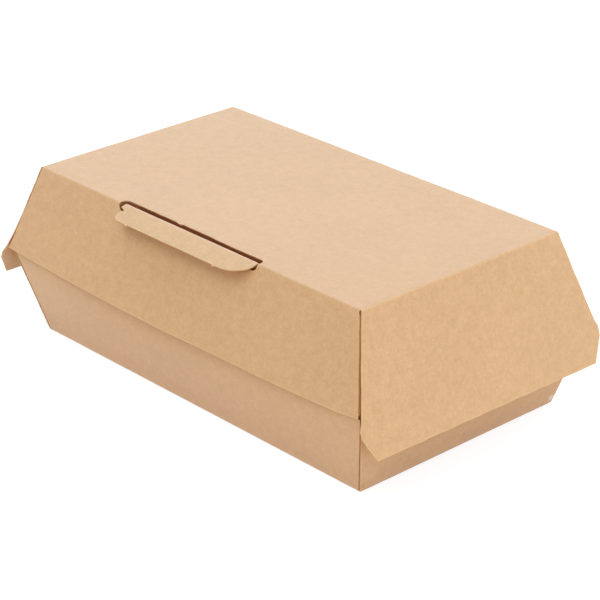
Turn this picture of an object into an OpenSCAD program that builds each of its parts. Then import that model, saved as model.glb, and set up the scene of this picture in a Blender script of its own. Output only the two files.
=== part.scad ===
// Takeaway box: a clamshell carton folded from one sheet of kraft board.
// The front is towards -Y and the hinge towards +Y. The base lies on Z = 0.
// Lengths and widths are taken over the outside, crease to crease.

/* [Carton] */
// Length of the base and of the top panel
base_l = 198; // [150:1:260]
// Width of the base and of the top panel
base_w = 109; // [80:1:160]
// Height of the closed box
height = 77; // [50:1:120]
// How far every wall leans out at the waist, halfway up
waist_out = 10.7; // [6:0.1:16]
// Thickness of the board
board_t = 0.5; // [0.3:0.05:0.8]
// Outside radius of a crease
crease_r = 1; // [0.9:0.1:2]
// Radius of the bead that a crease raises on the inside
bead_r = 0.4; // [0.2:0.05:0.6]
// How far an end panel runs in over the base or the top, past its crease
end_lap = 4; // [3:0.5:8]

/* [Corners] */
// Slit between a wall and the end beside it
corner_gap = 0.6; // [0.2:0.1:1.5]
// Width of a glue tab
glue_tab_w = 15; // [8:1:25]
// How far a glue tab tapers at each end
glue_tab_taper = 9; // [6:0.5:12]
// How far a glue tab stays back from the creases at its ends
glue_tab_inset = 1.5; // [1.5:0.5:6]
// How far a glue tab's far side is pressed into the end wall
glue_bite = 0.15; // [0.1:0.05:0.25]
// Radius of the round relief where a slit starts
relief_r = 0.7; // [0.3:0.1:1.2]
// How far the tray's end walls stop below the waist
end_wall_drop = 1; // [0.5:0.5:8]

/* [Lid] */
// Room between the right end flap and the tray's waist
right_flap_clear = 0.6; // [0.3:0.1:6]
// Room that the left end flap would leave at the waist if it stayed flat
left_flap_clear = 1.6; // [0.3:0.1:3]
// How much more the left end flap leans where it has sprung out, in degrees
left_spring = 6.2; // [1:0.1:12]
// Share of the way down to the waist at which it starts to spring out
spring_share = 0.64; // [0.4:0.02:0.75]
// Length over which the left end flap bends outwards
spring_len = 8; // [4:0.5:14]
// Gap beside the left end flap where it starts to spring out
spring_gap = 0.2; // [0.1:0.05:0.5]
// Width of the slit at the waist beside the right end flap
right_slit = 1.8; // [0.6:0.1:3]
// How far an end flap reaches past the waist
flap_drop = 17.1; // [14.5:0.1:30]
// Height of the upright stretch at an end flap's sides
flap_land = 3.8; // [1:0.2:8]
// How far an end flap's sides start inside the front and back walls
flap_inset = 0.4; // [0:0.1:2]
// How far an end flap's sides stand out past those walls below the waist
flap_proud = 1.5; // [0:0.1:3]
// Chamfer at an end flap's lower corners, along its lower edge
flap_chamfer_w = 5.3; // [1:0.1:15]
// Chamfer at an end flap's lower corners, up its side
flap_chamfer_h = 10.4; // [2:0.2:14]
// How far the lid's front edge dips below the waist in its middle
front_bow = 2.6; // [0:0.1:6]
// Clearance of the crease that the lid turns on
hinge_gap = 0.1; // [0.05:0.05:0.3]

/* [Lock] */
// Room between the locking flap and the lid's front wall at the waist
lock_gap = 0.6; // [0.3:0.1:1.5]
// How much further the locking flap leans in over the height of the lid
lock_away = 2.1; // [0:0.1:4]
// How far the locking flap's sides stay inside the front wall's
lock_inset = 5; // [4:0.5:20]
// How far the locking flap narrows towards its top, each side
lock_taper = 6; // [0:0.5:20]
// Radius of the locking flap's top corners
lock_corner_r = 9; // [2:1:20]
// How far the locking flap's shoulders stop below the top
lock_drop = 3.6; // [2:0.2:12]
// Length of the slot in the lid
slot_l = 85; // [50:1:120]
// How far the slot reaches behind the front crease
slot_back = 3.9; // [1.5:0.1:6]
// How far the slot reaches below the front crease
slot_down = 3.1; // [1.5:0.1:6]
// Radius of the slot's corners
slot_r = 2.4; // [0.5:0.1:3]
// Middle of the slot, to the right of the box's own
slot_shift = -1.5; // [-10:0.5:10]
// Play between the lock tab and the slot's right end
tab_play = 1.2; // [0.3:0.1:3]
// Room between the lock tab and the slot's left end
tab_room = 3.6; // [1:0.1:8]
// How far the lock tab reaches out of its bend
tab_reach = 9.4; // [5:0.2:16]
// How far the bent lock tab droops, in degrees
tab_droop = 20; // [0:1:60]
// Inside radius of the lock tab's bend
tab_bend_r = 1.2; // [0.3:0.1:2]
// How far the lock tab stands over the top panel
tab_rise = 0; // [-0.5:0.1:2]
// How much narrower the tab's left end is at the slot
tab_ear = 0.6; // [0:0.1:4]
// Radius of the tab's left corner
tab_corner_r = 4.3; // [1:0.1:5]
// Length of the sweep that rounds the tab's right corner
tab_sweep = 13.5; // [3:0.5:30]

/* [Hidden] */

tray_colour = [0.80, 0.63, 0.47];
lid_colour = [0.87, 0.71, 0.54];
tab_colour = [0.90, 0.76, 0.62];

// Steps in a crease's arc or a rounded corner, and in a long curved edge
arc_steps = 6;
edge_steps = 24;
// Facets of a bead and of a relief hole
bead_facets = 16;
hole_facets = 24;
// A length that reaches past everything, and one by which cutters overshoot
far = 2 * (base_l + base_w + height);
over = 1;

waist_h = height / 2;
lean = atan(waist_out / waist_h);
// A leaning board's thickness, measured level
skin = board_t / cos(lean);

front_y = -base_w / 2;
back_y = base_w / 2;
end_x = base_l / 2;
hinge_y = back_y + waist_out;
// The tray's front wall stands inside the lid's
tray_front_out = waist_out - skin - lock_gap;
tray_front_y = front_y - tray_front_out;

// Half length of a wall where it meets a corner slit
wall_half = end_x - skin - corner_gap;
tray_wall_top = wall_half + waist_out;
lid_wall_right = end_x + waist_out + right_flap_clear - right_slit;

right_lean = atan((waist_out + skin + right_flap_clear) / waist_h);
left_lean = atan((waist_out + skin + left_flap_clear) / waist_h);
// From an end flap's crease to the waist, and to the flap's lower edge
flap_waist = waist_h / cos(right_lean);
flap_len = flap_waist + flap_drop;

// The left end flap springs out past this point on its outer face. The edges
// of the walls beside it run straight on from their top corners.
spring_from = spring_share * waist_h / cos(left_lean);
spring_x = end_x + spring_from * sin(left_lean);
lid_wall_left = wall_half + (spring_x - skin - spring_gap - wall_half) / spring_share;

lock_lean = atan(waist_out / waist_h + lock_away / waist_h);
lock_top = height - lock_drop;
tab_right = slot_shift + slot_l / 2 - tab_play;
tab_left = slot_shift - slot_l / 2 + tab_room;

function unit(v) = v / norm(v);
function along(angle) = [cos(angle), sin(angle)];
function heading(p, q) = atan2(q[1] - p[1], q[0] - p[0]);
function turn(a, b) = (b - a) - 360 * round((b - a) / 360);
// Points of a rounded corner
function corner_arc(centre, radius, from, to) =
    [for (i = [0 : arc_steps]) centre + radius * along(from + (to - from) * i / arc_steps)];

// One face of a bent board. The path runs along the board's face, with the
// board on its left. shift moves the face into the board.
function bend_arc(p, q, r, radius, shift) =
    let (
        a = heading(p, q),
        bend = turn(a, heading(q, r)),
        way = sign(bend),
        start = q - radius * tan(abs(bend) / 2) * along(a),
        centre = start + way * radius * along(a + 90),
        depth = radius - way * shift
    )
    [for (i = [0 : arc_steps]) centre - way * depth * along(a + 90 + bend * i / arc_steps)];

function face(path, radius, shift) =
    let (
        last = len(path) - 1,
        first_dir = heading(path[0], path[1]),
        last_dir = heading(path[last - 1], path[last])
    )
    concat(
        [path[0] + shift * along(first_dir + 90)],
        last < 2 ? [] : [
            for (i = [1 : last - 1], p = bend_arc(path[i - 1], path[i], path[i + 1], radius, shift)) p
        ],
        [path[last] + shift * along(last_dir + 90)]
    );

function reversed(list) = [for (i = [len(list) - 1 : -1 : 0]) list[i]];

// Section of a board that follows a path, with its creases rounded
module board_section(path, radius) {
    polygon(concat(face(path, radius, 0), reversed(face(path, radius, board_t))));
}

// A section in Y and Z, drawn out along X
module along_x(from, to) {
    translate([from, 0, 0])
        rotate([90, 0, 90])
            linear_extrude(to - from)
                children();
}

// A section in X and Z, drawn out along Y
module along_y(length) {
    rotate([90, 0, 0])
        linear_extrude(length, center = true)
            children();
}

module bead(half) {
    cylinder(h = 2 * half, r = bead_r, $fn = bead_facets);
}

// Bead on the inside of a crease that runs along X, at a corner of the outside
module bead_x(y, z, half, inward) {
    translate([-half, y + inward[0] * skin, z + inward[1] * board_t])
        rotate([0, 90, 0])
            bead(half);
}

// Bead on the inside of a crease that runs along Y
module bead_y(x, z, half, inward) {
    translate([x + inward[0] * skin, half, z + inward[1] * board_t])
        rotate([90, 0, 0])
            bead(half);
}

// A glue tab folded back from a wall's edge, from fold_a to fold_b. It leans
// away from the edge until its far side is stuck to the end wall. gap_a and
// gap_b are the slit's width at the two ends. depth is +1 where the tab runs
// towards +Y.
module glue_tab(fold_a, fold_b, gap_a, gap_b, depth) {
    seat = [gap_a + glue_bite, depth * glue_tab_w, 0];
    u = unit(fold_b - fold_a);
    v = unit(seat - (seat * u) * u);
    n = cross(u, v);
    span = norm(fold_b - fold_a);
    narrowing = (1 - gap_b / gap_a) * glue_tab_w / span;
    multmatrix([
        [u[0], v[0], n[0], fold_a[0]],
        [u[1], v[1], n[1], fold_a[1]],
        [u[2], v[2], n[2], fold_a[2]]
    ])
        translate([0, 0, n[0] > 0 ? -board_t : 0])
            linear_extrude(board_t)
                polygon([
                    [0, 0],
                    [span, 0],
                    for (x = [span - glue_tab_taper, glue_tab_taper]) [x, glue_tab_w - narrowing * x]
                ]);
}

// Point on the straight line between two points, at a given height
function at_height(p, q, z) = p + (q - p) * (z - p[2]) / (q[2] - p[2]);

// A tab of the tray, on a wall whose edge runs from foot to waist
module tray_tab(foot, waist, depth) {
    fold_a = at_height(foot, waist, glue_tab_inset);
    fold_b = at_height(foot, waist, waist_h - glue_tab_inset);
    glue_tab(fold_a, fold_b, corner_gap, corner_gap, depth);
}

module tray_tabs() {
    front_foot = [wall_half, front_y, 0];
    front_waist = [tray_wall_top, tray_front_y, waist_h];
    back_foot = [wall_half, back_y, 0];
    back_waist = [tray_wall_top, hinge_y, waist_h];
    for (side = [0, 1])
        mirror([side, 0, 0]) {
            tray_tab(front_foot, front_waist, 1);
            tray_tab(back_foot, back_waist, -1);
        }
}

// Front wall, base and back wall, with the locking flap above the front wall
module tray_walls() {
    lean_in = (height - waist_h) * tan(lock_lean);
    half_top = tray_wall_top - lock_inset - lock_taper;
    intersection() {
        along_x(-far, far)
            difference() {
                board_section([
                    [tray_front_y + lean_in, height],
                    [tray_front_y, waist_h],
                    [front_y, 0],
                    [back_y, 0],
                    [hinge_y, waist_h]
                ], crease_r);
                translate([0, waist_h - hinge_gap / 2])
                    square(far);
            }
        along_y(far)
            union() {
                polygon([
                    [-wall_half, -over],
                    [wall_half, -over],
                    [wall_half, 0],
                    [tray_wall_top, waist_h],
                    [-tray_wall_top, waist_h],
                    [-wall_half, 0]
                ]);
                locking_outline(half_top);
            }
    }
}

// The locking flap seen from the front
module locking_outline(half_top) {
    half_foot = tray_wall_top - lock_inset;
    right = corner_arc([half_top - lock_corner_r, lock_top - lock_corner_r], lock_corner_r, 0, 90);
    left = [for (p = reversed(right)) [-p[0], p[1]]];
    polygon(concat(
        [[-half_foot, waist_h - crease_r], [half_foot, waist_h - crease_r]],
        right,
        left
    ));
}

// The two end walls of the tray, with the creases at their feet
module tray_ends() {
    top = waist_h - end_wall_drop;
    for (side = [0, 1])
        mirror([side, 0, 0])
            intersection() {
                along_y(far)
                    board_section([
                        [end_x - end_lap, 0],
                        [end_x, 0],
                        [end_x + waist_out, waist_h]
                    ], crease_r);
                along_x(0, far)
                    polygon([
                        [front_y, -over],
                        [back_y, -over],
                        [back_y, 0],
                        [back_y + waist_out * top / waist_h, top],
                        [front_y - tray_front_out * top / waist_h, top],
                        [front_y, 0]
                    ]);
            }
}

module tray() {
    color(tray_colour)
        union() {
            tray_walls();
            tray_ends();
            tray_tabs();
            bead_x(front_y, 0, wall_half - crease_r, [1, 1]);
            bead_x(back_y, 0, wall_half - crease_r, [-1, 1]);
            for (side = [-1, 1])
                bead_y(side * end_x, 0, base_w / 2 - crease_r, [-side, 1]);
        }
}

// The tab that comes up through the slot and is bent forward over its edge.
// Its path starts at the tip, on the underside, and runs back and down the neck.
module lock_tab() {
    bend = 90 + lock_lean + tab_droop;
    centre_z = height + tab_rise - tab_bend_r - board_t;
    // The neck's front face goes on from the locking flap's
    neck_y = tray_front_y + (centre_z - waist_h) * tan(lock_lean);
    centre = [neck_y - tab_bend_r / cos(lock_lean), centre_z];
    bend_start = centre + tab_bend_r * along(tab_droop + 90);
    corner = bend_start + tab_bend_r * tan(bend / 2) * along(tab_droop);
    foot_z = lock_top - board_t;
    foot = [tray_front_y + (foot_z - waist_h) * tan(lock_lean), foot_z];
    color(tab_colour)
        intersection() {
            along_x(-far, far)
                difference() {
                    board_section([
                        bend_start - (tab_reach + over) * along(tab_droop),
                        corner,
                        foot
                    ], tab_bend_r);
                    // The neck stands on the locking flap
                    translate([bend_start[0], lock_top - far])
                        square(far);
                }
            translate([0, bend_start[0], bend_start[1]])
                rotate([tab_droop, 0, 0])
                    mirror([0, 1, 0])
                        linear_extrude(far, center = true)
                            tab_outline();
        }
}

// The lock tab seen square to its face, with Y as its reach out of the bend
module tab_outline() {
    corner = corner_arc([tab_left + tab_corner_r, tab_reach - tab_corner_r], tab_corner_r, 180, 90);
    sweep = [for (i = [0 : edge_steps])
        let (a = 90 - 90 * i / edge_steps)
        [tab_right - tab_sweep + tab_sweep * cos(a), tab_reach * sin(a)]];
    polygon(concat(
        [[tab_left + tab_ear, -tab_reach], [tab_left + tab_ear, 0]],
        corner,
        sweep,
        [[tab_right, -tab_reach]]
    ));
}

// The lid's front and back walls seen from the front, with the bow of their
// lower edge
module lid_outline() {
    dip = [for (i = [0 : edge_steps])
        let (
            f = 2 * i / edge_steps - 1,
            x = f < 0 ? f * lid_wall_left : f * lid_wall_right
        )
        [x, waist_h + hinge_gap / 2 - front_bow * (1 - f * f)]];
    polygon(concat(
        dip,
        [
            [wall_half, height],
            [wall_half, height + over],
            [-wall_half, height + over],
            [-wall_half, height]
        ]
    ));
}

// Back wall, top panel and front wall of the lid
module lid_walls() {
    below = (front_bow + crease_r) / waist_h;
    intersection() {
        along_x(-far, far)
            difference() {
                board_section([
                    [hinge_y, waist_h],
                    [back_y, height],
                    [front_y, height],
                    [front_y - waist_out * (1 + below), waist_h - waist_h * below]
                ], crease_r);
                translate([0, -far])
                    square([far, far + waist_h + hinge_gap / 2]);
            }
        along_y(far)
            lid_outline();
    }
}

// Slot across the front crease, for the lock tab. It is cut down through the
// top panel and straight back through the front wall.
module slot() {
    deep = slot_r + over;
    translate([slot_shift, front_y, height - deep])
        linear_extrude(deep + over)
            slot_outline(bead_r, slot_back);
    translate([slot_shift, front_y + slot_r / 2, height])
        rotate([90, 0, 0])
            linear_extrude(slot_r / 2 + slot_down)
                mirror([0, 1, 0])
                    slot_outline(over, slot_down);
}

// The slot from near, in front of Y = 0, to its depth, with its far corners
// rounded
module slot_outline(near, depth) {
    half = slot_l / 2;
    right = corner_arc([half - slot_r, depth - slot_r], slot_r, 0, 90);
    left = [for (p = reversed(right)) [-p[0], p[1]]];
    polygon(concat([[-half, -near], [half, -near]], right, left));
}

function flap_dir(angle) = [sin(angle), -cos(angle)];

// Point on an end flap's outer face at a distance from its crease. It leans by
// lean, and by spring more once it has sprung out.
function flap_point(d, lean, spring) =
    [end_x, height]
        + min(d, spring_from) * flap_dir(lean)
        + max(0, min(d - spring_from, spring_len)) * flap_dir(lean + spring / 2)
        + max(0, d - spring_from - spring_len) * flap_dir(lean + spring);

// One end flap with the crease above it. The outline is the flat flap's, laid
// over its leaning face.
module end_flap(side, lean, spring) {
    bends = spring > 0 ? [spring_from + spring_len, spring_from] : [];
    side_len = flap_len - flap_chamfer_h - flap_land;
    land_len = flap_len - flap_chamfer_h;
    half_foot = base_w / 2 + waist_out + flap_proud;
    drawn = [
        [base_w / 2 - flap_inset, 0],
        [base_w / 2 + waist_out, flap_waist],
        [half_foot, side_len],
        [half_foot, land_len],
        [half_foot - flap_chamfer_w, flap_len],
        [half_foot - flap_chamfer_w, flap_len + over]
    ];
    down = concat(
        [[base_w / 2, height + over]],
        [for (p = drawn) [p[0], flap_point(p[1], lean, spring)[1]]]
    );
    other = [for (p = reversed(down)) [-p[0], p[1]]];
    mirror([side < 0 ? 1 : 0, 0, 0])
        intersection() {
            along_y(far)
                board_section(concat(
                    [for (d = concat([flap_len], bends)) flap_point(d, lean, spring)],
                    [[end_x, height], [end_x - end_lap, height]]
                ), crease_r);
            along_x(0, far)
                polygon(concat(down, other));
        }
}

// Width at a height of the slit beside the right end flap
function slit_at(z) = corner_gap + (right_slit - corner_gap) * (height - z) / waist_h;

// The two glue tabs of the lid beside one end flap, which close the gaps
// foot_gap and top_gap
module lid_tabs(side, wall_waist, foot_gap, top_gap) {
    top_z = height - glue_tab_inset;
    foot_z = waist_h + glue_tab_inset;
    for (depth = [-1, 1]) {
        wall_y = base_w / 2;
        crease = [wall_half, depth * wall_y, height];
        waist = [wall_waist, depth * (wall_y + waist_out), waist_h];
        fold_a = at_height(crease, waist, foot_z);
        fold_b = at_height(crease, waist, top_z);
        mirror([side < 0 ? 1 : 0, 0, 0])
            glue_tab(fold_a, fold_b, foot_gap, top_gap, -depth);
    }
}

module lid() {
    color(lid_colour)
        difference() {
            union() {
                lid_walls();
                end_flap(1, right_lean, 0);
                end_flap(-1, left_lean, left_spring);
                lid_tabs(
                    1,
                    lid_wall_right,
                    slit_at(waist_h + glue_tab_inset),
                    slit_at(height - glue_tab_inset)
                );
                lid_tabs(-1, lid_wall_left, spring_gap, spring_gap);
                bead_x(back_y, height, wall_half - crease_r, [-1, -1]);
                bead_x(front_y, height, wall_half - crease_r, [1, -1]);
                for (side = [-1, 1])
                    bead_y(side * end_x, height, base_w / 2 - crease_r, [-side, -1]);
            }
            slot();
            for (side = [-1, 1])
                translate([side * (wall_half + corner_gap / 2), front_y + relief_r / 2, height - over])
                    cylinder(h = 2 * over, r = relief_r, $fn = hole_facets);
        }
}

tray();
lock_tab();
lid();
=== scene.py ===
import math

import bpy
import numpy as np
from mathutils import Matrix, Vector
from mathutils.geometry import delaunay_2d_cdt

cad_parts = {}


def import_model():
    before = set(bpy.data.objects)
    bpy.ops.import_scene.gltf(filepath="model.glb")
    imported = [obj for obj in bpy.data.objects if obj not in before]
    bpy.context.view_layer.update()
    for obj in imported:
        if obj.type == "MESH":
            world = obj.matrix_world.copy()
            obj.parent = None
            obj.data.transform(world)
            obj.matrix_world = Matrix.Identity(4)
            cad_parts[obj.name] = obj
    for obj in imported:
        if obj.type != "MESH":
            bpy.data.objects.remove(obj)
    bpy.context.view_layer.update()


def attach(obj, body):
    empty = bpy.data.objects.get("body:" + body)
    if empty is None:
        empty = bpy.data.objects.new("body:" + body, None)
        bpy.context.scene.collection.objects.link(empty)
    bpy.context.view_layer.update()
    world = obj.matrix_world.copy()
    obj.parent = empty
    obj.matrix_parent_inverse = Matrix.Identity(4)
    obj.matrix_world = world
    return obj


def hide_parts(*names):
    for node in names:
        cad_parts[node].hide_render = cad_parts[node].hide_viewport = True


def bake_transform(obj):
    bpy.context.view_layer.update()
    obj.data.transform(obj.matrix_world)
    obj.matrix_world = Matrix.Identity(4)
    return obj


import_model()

MM = 0.001

# Sizes of the folded carton in millimetres, most of them under the names that they have in
# the solids' source. They are the solids' own, or the photo's where a comment gives the
# solids' value.
BASE_L = 198.0
BASE_W = 109.0
HEIGHT = 77.0
WAIST_OUT = 10.7
BOARD_T = 0.5
CREASE_R = 1.0
BEAD_H = 0.3  # 0.4 in the solids
BEAD_W = 0.55  # half of the bead's width
CORNER_GAP = 0.6
GLUE_TAB_W = 15.0
GLUE_TAB_TAPER = 9.0
GLUE_TAB_INSET = 1.5
TAB_CLEAR = 0.03  # of its far side from the end wall, into which the solids press it
TAB_CREASE_R = 0.3  # 1 in the solids
BASE_CREASE_R = 0.6  # 1 in the solids
RELIEF_R = 0.5  # 0.7 in the solids
END_WALL_DROP = 1.0
RIGHT_FLAP_CLEAR = 0.6
LEFT_FLAP_CLEAR = 1.6
LEFT_SPRING = math.radians(6.2)
SPRING_SHARE = 0.64
SPRING_LEN = 8.0
SPRING_GAP = 0.2
RIGHT_SLIT = 1.8
FLAP_DROP = 17.1
FLAP_LAND = 3.8
FLAP_INSET = 0.4
FLAP_PROUD = 1.5
FLAP_CHAMFER_W = 5.3
FLAP_CHAMFER_H = 10.4
FRONT_BOW = 2.6
FRONT_CLEAR = 0.05  # of the lid's edge and of the tray's wall, from the waist
LOCK_GAP = 0.6
LOCK_AWAY = 2.1
LOCK_INSET = 5.0
LOCK_TAPER = 6.0
LOCK_CORNER_R = 9.0
LOCK_DROP = 3.6
SLOT_L = 85.0
SLOT_BACK = 4.2  # 3.9 in the solids
SLOT_DOWN = 3.1
SLOT_R = 2.4
SLOT_SHIFT = -1.5
SLOT_WIDER = 0.9  # at its left end, 0 in the solids
TAB_PLAY = 1.2
TAB_ROOM = 3.6
TAB_REACH = 9.25  # 9.4 in the solids
TAB_DROOP = math.radians(17)  # 20 degrees in the solids
TAB_BEND_R = 1.2
TAB_RISE = -0.5  # 0 in the solids
TAB_EAR = 0.6
TAB_CORNER_R = 4.3
TAB_SWEEP = 13.5
NECK_WIDER = 1.8  # on the left, 0 in the solids, which have no notch
NECK_FILLET = 1.2
NOTCH_REACH = 3.2
NOTCH_R = 0.6
NOTCH_FOOT = 0.8
# Nicks that held the tab in the blank, and their outline
NICKS_AT = (24.2, -30.5)
NICK = ((0.7, 0.0), (0.5, 0.6), (-0.45, 0.7), (-0.7, 0.0))
# The small tooth and the steps that the punch left in the slot's rear edge
SLOT_TEETH = (
    (-13.0, 0.05),
    (-11.6, -0.5),
    (-9.8, -0.5),
    (-9.0, 0.15),
    (9.5, 0.2),
    (11.0, -0.1),
    (23.0, -0.2),
)
# The lid's front edge: a slight wave, and a rise to the right corner, as in the photo
FRONT_WAVE = 0.4
FRONT_WAVE_AT = 30.0
FRONT_WAVE_W = 26.0
FRONT_RISE = 0.6
FRONT_RISE_X = (96.0, 109.0)
# The locking flap's foot: how far in and how far up
LOCK_FOOT = ((0.0, 0.6), (0.2, 1.4))
# How much longer than drawn each end flap is at its corners
FLAP_SKEW = {(1, -1): -0.8, (1, 1): 0.35, (-1, -1): 0.0, (-1, 1): 0.0}
# Cut edges aren't quite straight: size, length and phase of each wave
SLIT_WAVES = ((0.10, 15.0, 0.3), (0.06, 6.3, 1.1))
EDGE_WAVES = ((0.04, 23.0, 0.8), (0.03, 7.1, 2.0))
SLOT_WAVES = ((0.05, 9.0, 0.4), (0.04, 3.7, 1.9))
# How far the panels have gone hollow, and half the width over which they have
LID_SAG = 0.45
BASE_SAG = 0.5
FLAP_CUP = 0.5
FLAP_CUP_HALF = 66.0
LID_WALL_CUP = 0.25
LID_WALL_HALF = 108.0
TRAY_WALL_CUP = 0.3
TRAY_WALL_HALF = 106.0
# Small waves in the board, as unevenness() takes them, and their share in the base, which
# stands flat on the table
LID_UNEVEN = (0.06, 17, 1.3, 31, 13, 0.7)
TRAY_UNEVEN = (0.05, 19, 1.1, 27, 15, 0.2)
BASE_UNEVEN = 0.4

# The strip of board that bends at the hinge
HINGE_HALF = 1.6  # its height on each side of the crease
HINGE_ROWS = 15
HINGE_COLUMNS = 73
HINGE_ROUND = 0.7  # how far from the crease it is rounded
HINGE_STEP = 0.5  # how far from it the groove and the step from tray to lid go
HINGE_DENT = 0.10  # the groove's depth
HINGE_SIDE = 110.0  # half of its length

HALF_L = BASE_L / 2
HALF_W = BASE_W / 2
WAIST_H = HEIGHT / 2
LEAN = math.atan(WAIST_OUT / WAIST_H)
SKIN = BOARD_T / math.cos(LEAN)
WALL_LEN = WAIST_H / math.cos(LEAN)
FRONT_OUT = WAIST_OUT - SKIN - LOCK_GAP
FRONT_LEAN = math.atan(FRONT_OUT / WAIST_H)
FRONT_LEN = WAIST_H / math.cos(FRONT_LEAN)
WALL_HALF = HALF_L - SKIN - CORNER_GAP
TRAY_TOP = WALL_HALF + WAIST_OUT
LID_RIGHT = HALF_L + WAIST_OUT + RIGHT_FLAP_CLEAR - RIGHT_SLIT
RIGHT_LEAN = math.atan((WAIST_OUT + SKIN + RIGHT_FLAP_CLEAR) / WAIST_H)
LEFT_LEAN = math.atan((WAIST_OUT + SKIN + LEFT_FLAP_CLEAR) / WAIST_H)
FLAP_WAIST = WAIST_H / math.cos(RIGHT_LEAN)
FLAP_LEN = FLAP_WAIST + FLAP_DROP
# The left end flap leans further out past this distance from its crease
SPRING_FROM = SPRING_SHARE * WAIST_H / math.cos(LEFT_LEAN)
SPRING_X = HALF_L + SPRING_FROM * math.sin(LEFT_LEAN)
LID_LEFT = WALL_HALF + (SPRING_X - SKIN - SPRING_GAP - WALL_HALF) / SPRING_SHARE
LOCK_LEAN = math.atan((WAIST_OUT + LOCK_AWAY) / WAIST_H)
LOCK_TOP = HEIGHT - LOCK_DROP
LOCK_LEN = (LOCK_TOP - WAIST_H) / math.cos(LOCK_LEAN)
SLOT_LEFT = SLOT_SHIFT - SLOT_L / 2
SLOT_RIGHT = SLOT_SHIFT + SLOT_L / 2
TAB_RIGHT = SLOT_RIGHT - TAB_PLAY
TAB_LEFT = SLOT_LEFT + TAB_ROOM
NECK_LEFT = TAB_LEFT - NECK_WIDER
# The middle of a corner slit, in plan
CORNER_X = HALF_L - (SKIN + CORNER_GAP) / 2
# Which panel a point near a corner of the blank belongs to: the line that parts them
# runs out of the corner, between the end panel's side and the glue tab
CORNER_CLEAR = 0.2
CORNER_SLOPE = 0.29

# From where to where the creases go
LONG_SPAN = (-CORNER_X - 1, CORNER_X + 1)
END_SPAN = (-HALF_W, HALF_W)
FLAP_SPAN = (-67, 67)
WAIST_SPAN = (-112, 112)
NECK_SPAN = (-46, 46)
# How far before their creases the folds of the locking flap and of the lock tab take hold,
# and half of the width that the tab's does
WAIST_MARGIN = 2
NECK_MARGIN = 4
NECK_HALF = 60

# How finely the blank is meshed
EDGE_SPACING = 2.5
ROW_SPACING = 3.0
LID_SPACING = 3.6
TRAY_SPACING = 4.0
ROW_BESIDE = 0.7
ARC_ROWS = 9
ARC_STEPS = 8
RELIEF_STEPS = 14
LOCK_STEPS = 10
SWEEP_STEPS = 18
FRONT_POINTS = 61
TINY = 1e-12
SHARP = math.radians(38)

# The map of the fibres: millimetres to a unit, and how far off the inner face lies in it
UV_MM = 100.0
INNER_SHIFT = 900.0
FAR_FROM_FOLD = 50.0
OUTER, INNER, CUT = 0, 1, 2


def unit(v):
    v = np.asarray(v, float)
    return v / np.linalg.norm(v)


def smooth(x, low, high):
    """A soft step from 0 at low to 1 at high."""
    t = np.clip((np.asarray(x, float) - low) / (high - low), 0, 1)
    return t * t * (3 - 2 * t)


def ripple(s, waves):
    """A sum of sines over length s, for a cut that isn't quite straight."""
    total = np.zeros_like(np.asarray(s, float))
    for size, length, phase in waves:
        total = total + size * np.sin(2 * math.pi * s / length + phase)
    return total


def arc(centre, radius, start, end, steps):
    a = np.radians(np.linspace(start, end, steps + 1))
    return [(centre[0] + radius * math.cos(t), centre[1] + radius * math.sin(t)) for t in a]


def refined(path, spacing, waves=(), closed=False):
    """The path with points no further apart than spacing, shifted sideways by the waves."""
    points = [np.array(p, float) for p in path]
    if closed:
        points.append(points[0])
    made = []
    run = 0.0
    for p, q in zip(points, points[1:]):
        length = np.linalg.norm(q - p)
        if length < 1e-9:
            continue
        count = max(1, math.ceil(length / spacing))
        side = np.array([-(q - p)[1], (q - p)[0]]) / length
        for k in range(count):
            f = k / count
            at = p + (q - p) * f
            fade = min(1.0, 4 * min(f, 1 - f)) if count > 3 else 0.0
            made.append(at + side * ripple(run + length * f, waves) * fade)
        run += length
    if not closed:
        made.append(points[-1])
    return made


def in_scene(name, data):
    """A new object of the scene."""
    made = bpy.data.objects.new(name, data)
    bpy.context.scene.collection.objects.link(made)
    return made


def to_segments(loops):
    starts = np.concatenate([np.asarray(loop) for loop in loops])
    ends = np.concatenate([np.roll(np.asarray(loop), -1, axis=0) for loop in loops])
    return starts, ends


def inside(points, starts, ends):
    """Which points lie within the outline."""
    x, y = points[:, 0][:, None], points[:, 1][:, None]
    crosses = (starts[:, 1] > y) != (ends[:, 1] > y)
    rise = ends[:, 1] - starts[:, 1]
    rise = np.where(rise == 0, TINY, rise)
    at = starts[:, 0] + (y - starts[:, 1]) * (ends[:, 0] - starts[:, 0]) / rise
    return (crosses & (x < at)).sum(1) % 2 == 1


def distance(points, starts, ends):
    """How far each point is from the outline."""
    found = np.empty(len(points))
    span = ends - starts
    size = np.maximum((span * span).sum(1), TINY)
    batch = 2000
    for k in range(0, len(points), batch):
        rel = points[k : k + batch, None, :] - starts
        f = np.clip((rel * span).sum(2) / size, 0, 1)
        found[k : k + batch] = np.linalg.norm(rel - f[:, :, None] * span, axis=2).min(1)
    return found


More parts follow.
